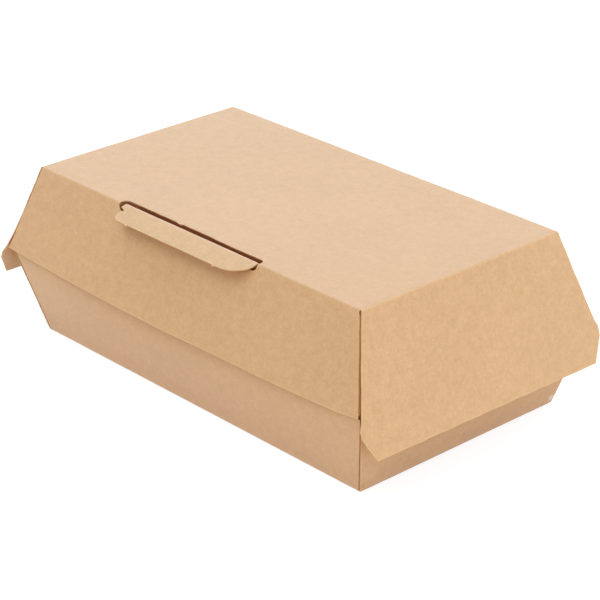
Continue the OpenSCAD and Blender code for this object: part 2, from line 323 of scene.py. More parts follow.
class Crease:
    """A fold of the flat sheet: everything past the line turns by angle, away from the outer face.
    A bend that isn't scored leaves no mark on the board."""

    def __init__(self, at, out, angle, radius, span, holds=None, scored=True):
        self.at = np.array(at, float)
        self.out = unit(out)
        self.angle = angle
        self.radius = radius
        self.reach = radius * math.tan(abs(angle) / 2)
        self.span = span
        self.holds = holds
        self.scored = scored

    def depth(self, flat):
        """How far past the crease's line each point of the blank is."""
        return (flat - self.at) @ self.out

    def along(self, flat):
        return (flat - self.at) @ np.array([-self.out[1], self.out[0]])

    def members(self, flat):
        if self.holds is None:
            return np.ones(len(flat), bool)
        return self.holds(flat)

    def bend(self, p, n, flat):
        """Turns the points p with normals n. flat is where they are in the blank."""
        out = np.array([self.out[0], self.out[1], 0.0])
        side = np.array([-self.out[1], self.out[0], 0.0])
        up = np.array([0.0, 0.0, 1.0])
        at = np.array([self.at[0], self.at[1], 0.0])
        d = self.depth(flat)
        member = self.members(flat)
        c, s = math.cos(self.angle), math.sin(self.angle)
        new_out = c * out - s * up
        new_up = c * up + s * out

        def turned(v):
            return (
                np.outer(v @ side, side) + np.outer(v @ out, new_out) + np.outer(v @ up, new_up)
            )

        beyond = member & (d >= self.reach)
        p[beyond] = at + turned(p[beyond] - at)
        n[beyond] = turned(n[beyond])
        arc_part = member & (np.abs(d) < self.reach)
        way = 1.0 if self.angle > 0 else -1.0
        phi = abs(self.angle) * (d[arc_part] + self.reach) / (2 * self.reach)
        centre = at + np.outer(self.along(flat[arc_part]), side)
        centre = centre - self.reach * out - way * self.radius * up
        p[arc_part] = (
            centre
            + np.outer(way * self.radius * np.cos(phi), up)
            + np.outer(self.radius * np.sin(phi), out)
        )
        n[arc_part] = np.outer(np.cos(phi), up) + np.outer(way * np.sin(phi), out)
        return p, n

    def rows(self):
        """Lines along the fold, close together over its arc."""
        side = np.array([-self.out[1], self.out[0]])
        offsets = list(np.linspace(-self.reach, self.reach, ARC_ROWS))
        offsets += [-self.reach - ROW_BESIDE, self.reach + ROW_BESIDE]
        low, high = self.span
        count = max(2, math.ceil((high - low) / ROW_SPACING))
        steps = np.linspace(low, high, count + 1)
        return [[self.at + self.out * o + side * s for s in steps] for o in offsets]


def board_object(name, points, faces, kinds, flat, rim, fold):
    """A piece of board. flat is each point's place in the map of the fibres, rim and fold are
    how far it is from a cut edge and from a crease."""
    mesh = bpy.data.meshes.new(name)
    mesh.from_pydata((points * MM).tolist(), [], faces)
    mesh.polygons.foreach_set("material_index", kinds)
    corner = np.zeros(len(mesh.loops), np.int32)
    mesh.loops.foreach_get("vertex_index", corner)
    uv = (flat[corner] / UV_MM).astype(np.float32)
    mesh.uv_layers.new(name="sheet").data.foreach_set("uv", uv.ravel())
    for label, values in (("rim", rim), ("fold", fold)):
        attribute = mesh.attributes.new(label, "FLOAT", "POINT")
        attribute.data.foreach_set("value", values.astype(np.float32))
    mesh.update()
    mesh.polygons.foreach_set("use_smooth", [True] * len(mesh.polygons))
    mesh.set_sharp_from_angle(angle=SHARP)
    return in_scene(name, mesh)


def inner_grid(starts, ends, creases, spacing):
    """A staggered grid of points inside the outline, clear of its edges and of the creases."""
    low, high = starts.min(0), starts.max(0)
    rise = spacing * math.sqrt(3) / 2
    rows = math.ceil((high[1] - low[1]) / rise)
    columns = math.ceil((high[0] - low[0]) / spacing)
    grid = np.array(
        [
            (low[0] + (i + 0.5 * (j % 2)) * spacing, low[1] + j * rise)
            for j in range(rows + 1)
            for i in range(columns + 1)
        ]
    )
    grid = grid[inside(grid, starts, ends)]
    grid = grid[distance(grid, starts, ends) > 0.5 * spacing]
    for crease in creases:
        near = crease.members(grid) & (np.abs(crease.depth(grid)) < crease.reach + 0.4 * spacing)
        along = crease.along(grid)
        near &= (along > crease.span[0] - 1) & (along < crease.span[1] + 1)
        grid = grid[~near]
    return grid


def flat_mesh(loops, creases, spacing):
    """The blank's points and triangles, with lines of points along every crease."""
    starts, ends = to_segments(loops)
    points = []
    edges = []

    def add(path, closed):
        first = len(points)
        points.extend((float(p[0]), float(p[1])) for p in path)
        count = len(path)
        edges.extend((first + k, first + k + 1) for k in range(count - 1))
        if closed:
            edges.append((first + count - 1, first))

    for loop in loops:
        add(loop, True)
    for crease in creases:
        for row in crease.rows():
            flat_row = np.array(row)
            flat_row = flat_row[crease.members(flat_row)]
            if len(flat_row) > 1:
                add(flat_row, False)
    grid = inner_grid(starts, ends, creases, spacing)
    points.extend((float(x), float(y)) for x, y in grid)

    verts, _, faces, *_ = delaunay_2d_cdt(
        [Vector(p) for p in points], edges, [], 0, 1e-5, False
    )
    flat = np.array([(v[0], v[1]) for v in verts])
    tris = np.array([f for f in faces if len(f) == 3])
    tris = tris[inside(flat[tris].mean(1), starts, ends)]
    a, b, c = (flat[tris[:, k]] for k in range(3))
    area = (b - a)[:, 0] * (c - a)[:, 1] - (b - a)[:, 1] * (c - a)[:, 0]
    real = np.abs(area) > 1e-7
    tris, area = tris[real], area[real]
    tris[area < 0] = tris[area < 0][:, ::-1]
    used, tris = np.unique(tris, return_inverse=True)
    return flat[used], tris.reshape(-1, 3), starts, ends


def sheet(name, loops, creases, spacing, seat, warp, sheet_shift):
    """Cuts the flat outline out of board, folds it and gives it its thickness.
    seat puts the folded sheet in its place, and says whether that mirrors it."""
    flat, tris, starts, ends = flat_mesh(loops, creases, spacing)
    count = len(flat)
    p = np.column_stack([flat, np.zeros(count)])
    n = np.tile([0.0, 0.0, 1.0], (count, 1))
    fold = np.full(count, FAR_FROM_FOLD)
    bead = np.zeros(count)
    for crease in [c for c in creases if c.scored]:
        d = np.abs(crease.depth(flat))
        along = crease.along(flat)
        member = crease.members(flat) & (along > crease.span[0]) & (along < crease.span[1])
        fold = np.where(member, np.minimum(fold, d), fold)
        if crease.angle > 0:
            raised = BEAD_H * np.exp(-((d / BEAD_W) ** 2))
            bead = np.maximum(bead, np.where(member, raised, 0))
    for crease in creases:
        p, n = crease.bend(p, n, flat)
    rim = distance(flat, starts, ends)
    p = p + n * warp(flat)[:, None]
    inner = p - n * (BOARD_T + bead)[:, None]

    used_edges = np.concatenate([tris[:, [0, 1]], tris[:, [1, 2]], tris[:, [2, 0]]])
    keys = {(int(i), int(j)) for i, j in used_edges}
    border = sorted((i, j) for i, j in keys if (j, i) not in keys)
    faces_out = [tuple(int(k) for k in t) for t in tris]
    faces_in = [tuple(int(k) + count for k in t[::-1]) for t in tris]
    walls = [(i, i + count, j + count, j) for i, j in border]
    placed, mirrored = seat(np.concatenate([p, inner]))
    every = faces_out + faces_in + walls
    if mirrored:
        every = [f[::-1] for f in every]
    kinds = [OUTER] * len(faces_out) + [INNER] * len(faces_in) + [CUT] * len(walls)
    u = sheet_shift[0] + np.concatenate([flat[:, 0], flat[:, 0] + INNER_SHIFT])
    v = sheet_shift[1] + sheet_shift[2] * np.concatenate([flat[:, 1], flat[:, 1]])
    twice = [np.concatenate([values, values]) for values in (rim, fold)]
    return board_object(name, placed, every, kinds, np.column_stack([u, v]), *twice)


def on_end(flat):
    """Which points of the blank belong to an end panel."""
    x = np.abs(flat[:, 0]) - CORNER_X
    y = np.abs(flat[:, 1]) - HALF_W
    return np.where(x > 0, y < CORNER_CLEAR + CORNER_SLOPE * x, x > y)


def on_wall(flat):
    return ~on_end(flat)


def side_only(sign, test):
    return lambda flat: test(flat) & (flat[:, 0] * sign > 0)


def front_only(sign, test):
    return lambda flat: test(flat) & (flat[:, 1] * sign > 0)


def panel_creases(radius, front, back, right, left):
    """The creases round the base or the top, with the angle of each."""
    return [
        Crease((0, -HALF_W), (0, -1), front, radius, LONG_SPAN, front_only(-1, on_wall)),
        Crease((0, HALF_W), (0, 1), back, radius, LONG_SPAN, front_only(1, on_wall)),
        Crease((HALF_L, 0), (1, 0), right, radius, END_SPAN, side_only(1, on_end)),
        Crease((-HALF_L, 0), (-1, 0), left, radius, END_SPAN, side_only(-1, on_end)),
    ]


def tab_angle(fold_foot, fold_far, wall_normal, gap):
    """How far a glue tab turns from its wall's plane until its far side meets the end wall."""
    u = unit(np.array(fold_far) - np.array(fold_foot))
    seat = np.array([gap - TAB_CLEAR, GLUE_TAB_W, 0.0])
    v = unit(seat - (seat @ u) * u)
    out = unit(np.cross(u, wall_normal))
    if out[0] < 0:
        out = -out
    return math.atan2(-(v @ wall_normal), v @ out)


class GlueTab:
    """A tab on a wall's side edge, which runs from near, at the panel's crease, to far."""

    # How far past the tab its crease goes, and how far past its ends, behind its crease and
    # beyond its far side a point is still its own
    CREASE_PAST = 0.05
    BESIDE = 0.2
    BEHIND = 1.5
    BEYOND = 2.0

    def __init__(self, near, far, inset, sign_x, sign_y):
        near, far = np.array(near, float), np.array(far, float)
        self.length = np.linalg.norm(far - near)
        self.dir = (far - near) / self.length
        self.out = np.array([-self.dir[1], self.dir[0]])
        if self.out[0] < 0:
            self.out = -self.out
        self.near = near
        self.sign = np.array([sign_x, sign_y], float)
        self.low, self.high = inset, self.length - inset
        self.narrowing = 0.0

    def outline(self):
        """Along the wall's edge from the panel's crease outwards, in the quarter x > 0, y > 0."""
        span = self.high - self.low
        corners = [(self.low, 0.0)]
        for s in (self.low + GLUE_TAB_TAPER, self.high - GLUE_TAB_TAPER):
            corners.append((s, GLUE_TAB_W - self.narrowing * (self.high - s)))
        corners.append((self.high, 0.0))
        return [self.near + self.dir * s + self.out * d for s, d in corners]

    def crease(self, angle):
        out = self.out * self.sign
        at = self.near * self.sign
        direction = self.dir * self.sign
        side = np.array([-out[1], out[0]])
        way = 1.0 if side @ direction > 0 else -1.0
        past = self.CREASE_PAST
        span = sorted([way * (self.low - past), way * (self.high + past)])

        def holds(flat):
            s = (flat - at) @ direction
            d = (flat - at) @ out
            along = (s > self.low - self.BESIDE) & (s < self.high + self.BESIDE)
            return along & (d > -self.BEHIND) & (d < GLUE_TAB_W + self.BEYOND) & on_wall(flat)

        return Crease(at, out, angle, TAB_CREASE_R, span, holds)


def quarter(end_side, end_y, wall_side):
    """One corner of a blank, from the end panel's far side to the wall's far corner, in x, y > 0.
    The slit between them starts at a round relief hole, and the end's side at end_y."""
    centre = (CORNER_X - SKIN / 2, HALF_W - RELIEF_R / 2)
    first = math.degrees(math.asin((end_y - centre[1]) / RELIEF_R))
    last = -180 - math.degrees(math.acos((centre[0] - WALL_HALF) / RELIEF_R))
    notch = arc(centre, RELIEF_R, first, last, RELIEF_STEPS)
    return end_side + notch + wall_side


def mirrored_path(path, sign_x, sign_y):
    return [np.array([p[0] * sign_x, p[1] * sign_y]) for p in path]


# The lid: top panel, front and back walls, end flaps and glue tabs


def flap_side(longer):
    """From the flap's lower edge to its crease. longer says how far off its corners are cut."""
    flap_len = FLAP_LEN + longer
    side_len = FLAP_LEN - FLAP_CHAMFER_H - FLAP_LAND
    half_foot = HALF_W + WAIST_OUT + FLAP_PROUD
    return [
        (HALF_L + flap_len, half_foot - FLAP_CHAMFER_W),
        (HALF_L + flap_len - FLAP_CHAMFER_H, half_foot),
        (HALF_L + side_len, half_foot),
        (HALF_L + FLAP_WAIST, HALF_W + WAIST_OUT),
        (HALF_L, HALF_W - FLAP_INSET),
    ]


def slit_at(z):
    """The right corners' slit is wider towards the waist."""
    return CORNER_GAP + (RIGHT_SLIT - CORNER_GAP) * (HEIGHT - z) / WAIST_H


def lid_tab(wall_waist, foot_gap, top_gap, sign_x, sign_y):
    """A glue tab of the lid, and its crease. The gap to the end flap changes with the height."""
    far = (wall_waist, HALF_W + WALL_LEN)
    inset = GLUE_TAB_INSET / math.cos(LEAN)
    tab = GlueTab((WALL_HALF, HALF_W), far, inset, sign_x, sign_y)
    tab.narrowing = (1 - top_gap / foot_gap) * GLUE_TAB_W / (tab.high - tab.low)
    normal = np.array([0.0, -math.cos(LEAN), math.sin(LEAN)])
    foot = (wall_waist, -HALF_W - WAIST_OUT, WAIST_H)
    top = (WALL_HALF, -HALF_W, HEIGHT)
    return tab, tab.crease(tab_angle(foot, top, normal, foot_gap))


def lid_front_edge():
    """The lid's lower front edge, from its left corner to its right, with its bow."""
    path = []
    for f in np.linspace(-1, 1, FRONT_POINTS):
        x = f * LID_LEFT if f < 0 else f * LID_RIGHT
        z = WAIST_H + FRONT_CLEAR - FRONT_BOW * (1 - f * f)
        z += FRONT_WAVE * math.exp(-(((x - FRONT_WAVE_AT) / FRONT_WAVE_W) ** 2))
        z += FRONT_RISE * float(smooth(x, *FRONT_RISE_X))
        path.append(np.array([x, -HALF_W - (HEIGHT - z) / math.cos(LEAN)]))
    return path


def slot_loop():
    """The lock tab's slot. The punch has left a small tooth and a step in its rear edge."""
    rear = -HALF_W + SLOT_BACK
    front = -HALF_W - SLOT_DOWN / math.cos(LEAN)
    r = SLOT_R
    left = SLOT_LEFT - SLOT_WIDER
    path = arc((left + r, rear - r), r, 180, 90, ARC_STEPS)
    for x, step in SLOT_TEETH:
        path.append((x, rear + step))
    path += arc((SLOT_RIGHT - r, rear - r), r, 90, 0, ARC_STEPS)
    path += arc((SLOT_RIGHT - r, front + r), r, 0, -90, ARC_STEPS)
    path += arc((left + r, front + r), r, -90, -180, ARC_STEPS)
    return refined(path, EDGE_SPACING, SLOT_WAVES, closed=True)


def lid_loops():
    """The lid's outline as a blank, and the creases of its glue tabs."""
    quarters = {}
    folds = []
    foot_slit = slit_at(WAIST_H + GLUE_TAB_INSET)
    top_slit = slit_at(HEIGHT - GLUE_TAB_INSET)
    ends = ((1, LID_RIGHT, foot_slit, top_slit), (-1, LID_LEFT, SPRING_GAP, SPRING_GAP))
    for sign_x, waist, foot_gap, top_gap in ends:
        for sign_y in (-1, 1):
            tab, crease = lid_tab(waist, foot_gap, top_gap, sign_x, sign_y)
            folds.append(crease)
            wall_side = tab.outline()
            if sign_y > 0:
                f = 1 - HINGE_HALF / WALL_LEN
                x = WALL_HALF + (waist - WALL_HALF) * f
                wall_side.append((x, HALF_W + WALL_LEN - HINGE_HALF))
            side = flap_side(FLAP_SKEW[sign_x, sign_y])
            path = quarter(side, HALF_W - FLAP_INSET, wall_side)
            quarters[sign_x, sign_y] = mirrored_path(path, sign_x, sign_y)
    # From the front edge's left corner to the right, then round by the right flap and the back
    loop = lid_front_edge()
    loop += quarters[1, -1][::-1]
    loop += quarters[1, 1]
    loop += quarters[-1, 1][::-1]
    loop += quarters[-1, -1]
    return refined(loop, EDGE_SPACING, SLIT_WAVES, closed=True), folds


def panel_sag(x, y):
    """How hollow the top panel or the base is, 0 at its creases and 1 in its middle."""
    u = np.clip((x + HALF_L) / BASE_L, 0, 1)
    v = np.clip((y + HALF_W) / BASE_W, 0, 1)
    return np.sin(math.pi * u) * np.sin(math.pi * v)


def unevenness(x, y, size, length_x, bend, bend_length, length_y, phase):
    """Small waves in the board, from 0 to twice their size inwards."""
    across = np.sin(x / length_x + bend * np.sin(y / bend_length))
    return size * across * np.sin(y / length_y + phase) - size


def lid_warp(flat):
    """How far the lid's board lies off its plane, inwards everywhere."""
    x, y = flat[:, 0], flat[:, 1]
    top = -LID_SAG * panel_sag(x, y)
    past_end = np.clip((np.abs(x) - HALF_L) / FLAP_LEN, 0, 1)
    across = np.clip(y / FLAP_CUP_HALF, -1, 1)
    flap = -FLAP_CUP * np.sin(math.pi * past_end) * (1 - across**2)
    past_wall = np.clip((np.abs(y) - HALF_W) / WALL_LEN, 0, 1)
    level = np.clip(x / LID_WALL_HALF, -1, 1)
    wall = -LID_WALL_CUP * np.sin(math.pi * past_wall) * (1 - level**2)
    end = on_end(flat) & (np.abs(x) > HALF_L)
    large = np.where(end, flap, top + np.where(np.abs(y) > HALF_W, wall, 0))
    return large + unevenness(x, y, *LID_UNEVEN)


def build_lid():
    outline, folds = lid_loops()
    at_spring = (-HALF_L - SPRING_FROM - SPRING_LEN / 2, 0)
    spring_r = SPRING_LEN / 2 / math.tan(LEFT_SPRING / 2)
    left_end = side_only(-1, on_end)
    folds.append(Crease(at_spring, (-1, 0), -LEFT_SPRING, spring_r, FLAP_SPAN, left_end, False))
    wall, right, left = (math.pi / 2 - lean for lean in (LEAN, RIGHT_LEAN, LEFT_LEAN))
    folds += panel_creases(CREASE_R, wall, wall, right, left)

    def seat(p):
        return p + np.array([0, 0, HEIGHT]), False

    loops = [outline, slot_loop()]
    shift = (0.0, 2 * (HALF_W + WALL_LEN), -1.0)
    return sheet("lid_sheet", loops, folds, LID_SPACING, seat, lid_warp, shift)


# The tray: base, four walls, glue tabs, locking flap and lock tab


def neck_length():
    """From the waist to the corner that the neck's front face and the tab's underside make."""
    centre_z = HEIGHT + TAB_RISE - TAB_BEND_R - BOARD_T
    front_y = -HALF_W - FRONT_OUT
    neck_y = front_y + (centre_z - WAIST_H) * math.tan(LOCK_LEAN)
    centre = np.array([neck_y - TAB_BEND_R / math.cos(LOCK_LEAN), centre_z])
    heading = np.array([math.cos(TAB_DROOP), math.sin(TAB_DROOP)])
    up = np.array([-heading[1], heading[0]])
    bend = math.pi / 2 + LOCK_LEAN + TAB_DROOP
    corner = centre + TAB_BEND_R * up + TAB_BEND_R * math.tan(bend / 2) * heading
    return float(np.linalg.norm(corner - np.array([front_y, WAIST_H]))), bend


def tray_tab(wall_len, run, sign_x, sign_y):
    """A glue tab of the tray, and its crease. run is how far its wall leans out."""
    far = (TRAY_TOP, HALF_W + wall_len)
    inset = GLUE_TAB_INSET * wall_len / WAIST_H
    tab = GlueTab((WALL_HALF, HALF_W), far, inset, sign_x, sign_y)
    lean = math.atan(run / WAIST_H)
    normal = np.array([0.0, -math.cos(lean), -math.sin(lean)])
    foot = (WALL_HALF, -HALF_W, 0.0)
    waist = (TRAY_TOP, -HALF_W - run, WAIST_H)
    return tab, tab.crease(tab_angle(foot, waist, normal, CORNER_GAP))


def lock_side():
    """The locking flap's right side, from the waist up."""
    foot_half = TRAY_TOP - LOCK_INSET
    top_half = foot_half - LOCK_TAPER
    r = LOCK_CORNER_R
    path = [(foot_half - x, y) for x, y in LOCK_FOOT]
    return path + arc((top_half - r, LOCK_LEN - r), r, 0, 90, LOCK_STEPS)


def lock_tab_side(neck_len, bend):
    """The lock tab and its neck, from the neck's right foot round to its left foot."""
    crown = neck_len + TAB_BEND_R * math.tan(bend / 2)
    edge = crown + TAB_REACH
    foot = LOCK_LEN + NECK_FILLET
    path = [(TAB_RIGHT + NECK_FILLET, LOCK_LEN), (TAB_RIGHT, foot), (TAB_RIGHT, crown)]
    for a in np.radians(np.linspace(0, 90, SWEEP_STEPS + 1)[1:]):
        x = TAB_RIGHT - TAB_SWEEP + TAB_SWEEP * math.cos(a)
        path.append((x, crown + TAB_REACH * math.sin(a)))
    for x in NICKS_AT:
        path += [(x + dx, edge + dy) for dx, dy in NICK]
    corner = (TAB_LEFT + TAB_CORNER_R, edge - TAB_CORNER_R)
    path += arc(corner, TAB_CORNER_R, 90, 180, ARC_STEPS)
    path += arc((TAB_LEFT + TAB_EAR, crown + NOTCH_REACH), NOTCH_R, 90, -60, ARC_STEPS)
    path += [(NECK_LEFT, crown + NOTCH_REACH - NOTCH_R - NOTCH_FOOT), (NECK_LEFT, foot)]
    path.append((NECK_LEFT - NECK_FILLET, LOCK_LEN))
    return path


def tray_loops():
    """The tray's outline as a blank, the creases of its glue tabs, and the lock tab's bend."""
    neck_len, bend = neck_length()
    front_y = HALF_W + FRONT_LEN
    folds = []
    wall_end_front = (TRAY_TOP, front_y - FRONT_CLEAR)
    f = 1 - HINGE_HALF / WALL_LEN
    wall_end_back = (WALL_HALF + (TRAY_TOP - WALL_HALF) * f, HALF_W + WALL_LEN - HINGE_HALF)
    end_len = (WAIST_H - END_WALL_DROP) / math.cos(LEAN)
    share = (WAIST_H - END_WALL_DROP) / WAIST_H
    quarters = {}
    for sign_x in (1, -1):
        for sign_y in (-1, 1):
            wall_len = FRONT_LEN if sign_y < 0 else WALL_LEN
            run = FRONT_OUT if sign_y < 0 else WAIST_OUT
            tab, crease = tray_tab(wall_len, run, sign_x, sign_y)
            folds.append(crease)
            end_side = [(HALF_L + end_len, HALF_W + run * share), (HALF_L, HALF_W)]
            end = wall_end_front if sign_y < 0 else wall_end_back
            path = quarter(end_side, HALF_W, tab.outline() + [end])
            quarters[sign_x, sign_y] = mirrored_path(path, sign_x, sign_y)
    shoulder = lock_side()
    lock = shoulder + lock_tab_side(neck_len, bend)
    lock += [(-x, y) for x, y in shoulder[::-1]]
    lock = [np.array([x, -(front_y + y)]) for x, y in lock]
    loop = list(quarters[1, -1])
    loop += lock
    loop += quarters[-1, -1][::-1]
    loop += quarters[-1, 1]
    loop += quarters[1, 1][::-1]
    return refined(loop, EDGE_SPACING, EDGE_WAVES, closed=True), folds, neck_len, bend


def tray_warp(flat):
    """How far the tray's board lies off its plane, inwards everywhere."""
    x, y = flat[:, 0], flat[:, 1]
    base = -BASE_SAG * panel_sag(x, y)
    past_wall = np.clip((np.abs(y) - HALF_W) / WALL_LEN, 0, 1)
    level = np.clip(x / TRAY_WALL_HALF, -1, 1)
    wall = -TRAY_WALL_CUP * np.sin(math.pi * past_wall) * (1 - level**2)
    base_part = (np.abs(x) < HALF_L) & (np.abs(y) < HALF_W)
    wall_part = (np.abs(y) > HALF_W) & on_wall(flat)
    small = unevenness(x, y, *TRAY_UNEVEN) * np.where(base_part, BASE_UNEVEN, 1.0)
    return np.where(base_part, base, 0) + np.where(wall_part, wall, 0) + small


def build_tray():
    outline, folds, neck_len, bend = tray_loops()
    waist_y = -HALF_W - FRONT_LEN
    tab_y = waist_y - neck_len
    turn = FRONT_LEAN + LOCK_LEAN

    def beyond_waist(flat):
        return flat[:, 1] < waist_y + WAIST_MARGIN

    def on_neck(flat):
        return (flat[:, 1] < tab_y + NECK_MARGIN) & (np.abs(flat[:, 0]) < NECK_HALF)

    folds.append(Crease((0, tab_y), (0, -1), -bend, TAB_BEND_R, NECK_SPAN, on_neck))
    folds.append(Crease((0, waist_y), (0, -1), turn, CREASE_R, WAIST_SPAN, beyond_waist))
    wall = math.pi / 2 - LEAN
    folds += panel_creases(BASE_CREASE_R, math.pi / 2 - FRONT_LEAN, wall, wall, wall)

    def seat(p):
        return p * np.array([1, 1, -1]), True

    return sheet("tray_sheet", [outline], folds, TRAY_SPACING, seat, tray_warp, (0.0, 0.0, 1.0))


def build_hinge():
    """The strip of back wall on both sides of the waist crease, rounded over the crease where the
    lid's wall meets the tray's.
    """
    hinge_at = np.array([HALF_W + WAIST_OUT, WAIST_H])
    up = np.array([-math.sin(LEAN), math.cos(LEAN)])
    down = np.array([-math.sin(LEAN), -math.cos(LEAN)])
    out_up = np.array([math.cos(LEAN), math.sin(LEAN)])
    out_down = np.array([math.cos(LEAN), -math.sin(LEAN)])
    points = []
    flat = []
    for layer in (0, 1):
        for o in np.linspace(-HINGE_HALF, HINGE_HALF, HINGE_ROWS):
            f = smooth(o, -HINGE_ROUND, HINGE_ROUND)
            normal = unit((1 - f) * out_down + f * out_up)
            dent = HINGE_DENT * math.exp(-((o / HINGE_STEP) ** 2))
            at = hinge_at + abs(o) * (up if o > 0 else down) - normal * (dent + layer * BOARD_T)
            share = (WALL_LEN - abs(o)) / WALL_LEN
            step = float(smooth(o, -HINGE_STEP, HINGE_STEP))
            tray_half = WALL_HALF + (TRAY_TOP - WALL_HALF) * share
            lid_l = WALL_HALF + (LID_LEFT - WALL_HALF) * share
            lid_r = WALL_HALF + (LID_RIGHT - WALL_HALF) * share
            left = -(tray_half + (lid_l - tray_half) * step)
            right = tray_half + (lid_r - tray_half) * step
            for x in np.linspace(left, right, HINGE_COLUMNS):
                points.append((x, at[0], at[1]))
                flat.append((x + INNER_SHIFT * layer, HALF_W + WALL_LEN + o))
    points = np.array(points)
    flat = np.array(flat)
    faces = []
    kinds = []

    def corner(layer, row, column):
        return (layer * HINGE_ROWS + row) * HINGE_COLUMNS + column

    def face(kind, *corners):
        faces.append(tuple(corner(*c) for c in corners))
        kinds.append(kind)

    last = HINGE_COLUMNS - 1
    for r in range(HINGE_ROWS - 1):
        for c in range(last):
            face(OUTER, (0, r, c), (0, r + 1, c), (0, r + 1, c + 1), (0, r, c + 1))
            face(INNER, (1, r, c), (1, r, c + 1), (1, r + 1, c + 1), (1, r + 1, c))
        face(CUT, (0, r, 0), (1, r, 0), (1, r + 1, 0), (0, r + 1, 0))
        face(CUT, (0, r, last), (0, r + 1, last), (1, r + 1, last), (1, r, last))
    fold = np.abs(flat[:, 1] - HALF_W - WALL_LEN)
    rim = (HINGE_SIDE - np.abs(points[:, 0])).clip(0, FAR_FROM_FOLD)
    return board_object("hinge_crease", points, faces, kinds, flat, rim, fold)


# Materials

KRAFT = (0.515, 0.309, 0.145)
# The tray's outside is the lid's board, tinted warmer as painted warm light bounced up from the
# floor
KRAFT_TRAY_PAINTED_BOUNCE = (0.525, 0.303, 0.132)
KRAFT_INSIDE = (0.54, 0.348, 0.176)
KRAFT_CUT = (0.52, 0.340, 0.180)
# Factors on the board's colour
DARK_PULP = (0.80, 0.76, 0.70)
LIGHT_PULP = (1.16, 1.20, 1.26)
# Paler board at cut edges and creases: real wear, and at cut edges also a painted highlight
PALE_WEAR_AND_HIGHLIGHT = (1.14, 1.20, 1.26)
SPECK = (0.55, 0.44, 0.34)
DARK_PLY = (0.86, 0.82, 0.78)
LIGHT_PLY = (1.22, 1.28, 1.36)
# The mottling from coarse to fine: scale, detail and roughness of the noise, and its strength
MOTTLING = ((3.2, 2.0, 0.5), (21.0, 2.0, 0.55), (52.0, 2.0, 0.55), (120.0, 2.0, 0.6))
MOTTLING_STRENGTH = (0.26, 0.55, 0.55, 0.75)
# The fibres: their direction and fineness, how far they wind, and their strength
FIBRES = ((0.25, (55, 340, 1)), (-0.55, (60, 380, 1)), (1.35, (70, 420, 1)))
FIBRE_WINDING = 0.05
LIGHT_FIBRES = 0.30
DARK_FIBRES = -0.34
SPECK_SCALE = 7.0
SPECK_RARITY = 0.62
SPECK_STRENGTH = 0.34
# How much paler the board is at a cut edge, for real wear and as a painted highlight of the edge's
# rounding, and along a crease, for wear
RIM_WEAR_AND_HIGHLIGHT = 0.65
RIM_WEAR_AND_HIGHLIGHT_INSIDE = 0.4
FOLD_LIGHT = 0.16
GLOSS = 0.2
CUT_GLOSS = 0.15
FUZZ = 0.66
# The reach of a crevice in metres, and the painted shade: the tints that make what lies in a crevice
# or under an overhang darker and redder
CREVICE = 0.010
PAINTED_SHADE_TINT = (0.80, 0.55, 0.38, 1.0)
CUT_PAINTED_SHADE_TINT = (0.50, 0.27, 0.16, 1.0)
# The colour of a painted glow in the shut box, which stands in for the faint light through the
# board, and how far off board counts as shutting it in
PAINTED_GLOW_COLOUR = (0.060, 0.021, 0.010, 1.0)
ENCLOSED = 0.25


class Graph:
    """A short way to write a material's nodes."""

    def __init__(self, tree):
        self.tree = tree

    def node(self, kind, settings=None, **inputs):
        made = self.tree.nodes.new(kind)
        for key, value in (settings or {}).items():
            setattr(made, key, value)
        for key, value in inputs.items():
            self.feed(made.inputs[key.replace("_", " ")], value)
        return made

    def feed(self, socket, value):
        if isinstance(value, bpy.types.NodeSocket):
            self.tree.links.new(value, socket)
        elif value is not None:
            socket.default_value = value

    def math(self, operation, a, b=None, c=None, clamp=False):
        made = self.tree.nodes.new("ShaderNodeMath")
        made.operation = operation
        made.use_clamp = clamp
        for socket, value in zip(made.inputs, (a, b, c)):
            self.feed(socket, value)
        return made.outputs[0]

    def noise(self, vector, scale, detail=2.0, rough=0.5):
        made = self.node(
            "ShaderNodeTexNoise",
            {"noise_dimensions": "3D"},
            Vector=vector,
            Scale=scale,
            Detail=detail,
            Roughness=rough,
        )
        return made.outputs["Fac"]

    def stretched(self, vector, angle, scale):
        made = self.node("ShaderNodeMapping", {"vector_type": "POINT"}, Vector=vector)
        made.inputs["Rotation"].default_value = (0, 0, angle)
        made.inputs["Scale"].default_value = scale
        return made.outputs["Vector"]

    def ramp(self, value, low, high, to_low=0.0, to_high=1.0):
        made = self.node("ShaderNodeMapRange", {"interpolation_type": "SMOOTHSTEP"})
        for key, number in (
            ("Value", value),
            ("From Min", low),
            ("From Max", high),
            ("To Min", to_low),
            ("To Max", to_high),
        ):
            self.feed(made.inputs[key], number)
        return made.outputs["Result"]

    def mix(self, factor, a, b, blend="MIX"):
        made = self.tree.nodes.new("ShaderNodeMix")
        made.data_type = "RGBA"
        made.blend_type = blend
        self.feed(made.inputs["Factor"], factor)
        for socket, value in zip([s for s in made.inputs if s.type == "RGBA"], (a, b)):
            self.feed(socket, value)
        return [s for s in made.outputs if s.type == "RGBA"][0]


def graph_of(owner):
    """The emptied nodes of a material or of the world."""
    owner.use_nodes = True
    owner.node_tree.nodes.clear()
    return Graph(owner.node_tree)


def tone(colour, factor):
    return tuple(min(1.0, c * f) for c, f in zip(colour, factor)) + (1.0,)


def painted_shade_amount(g):
    """How much shade to paint on a place, 0 to 1, from how far it is shut in by board close to it.
    The pale floor doesn't count.
    """
    near = g.node("ShaderNodeAmbientOcclusion", {"samples": 6}, Distance=CREVICE)
    place = g.node("ShaderNodeNewGeometry").outputs["Position"]
    height = g.node("ShaderNodeSeparateXYZ", Vector=place).outputs["Z"]
    return g.math("MULTIPLY", g.ramp(near.outputs["AO"], 0.98, 0.15), g.ramp(height, 0.0, 0.02))


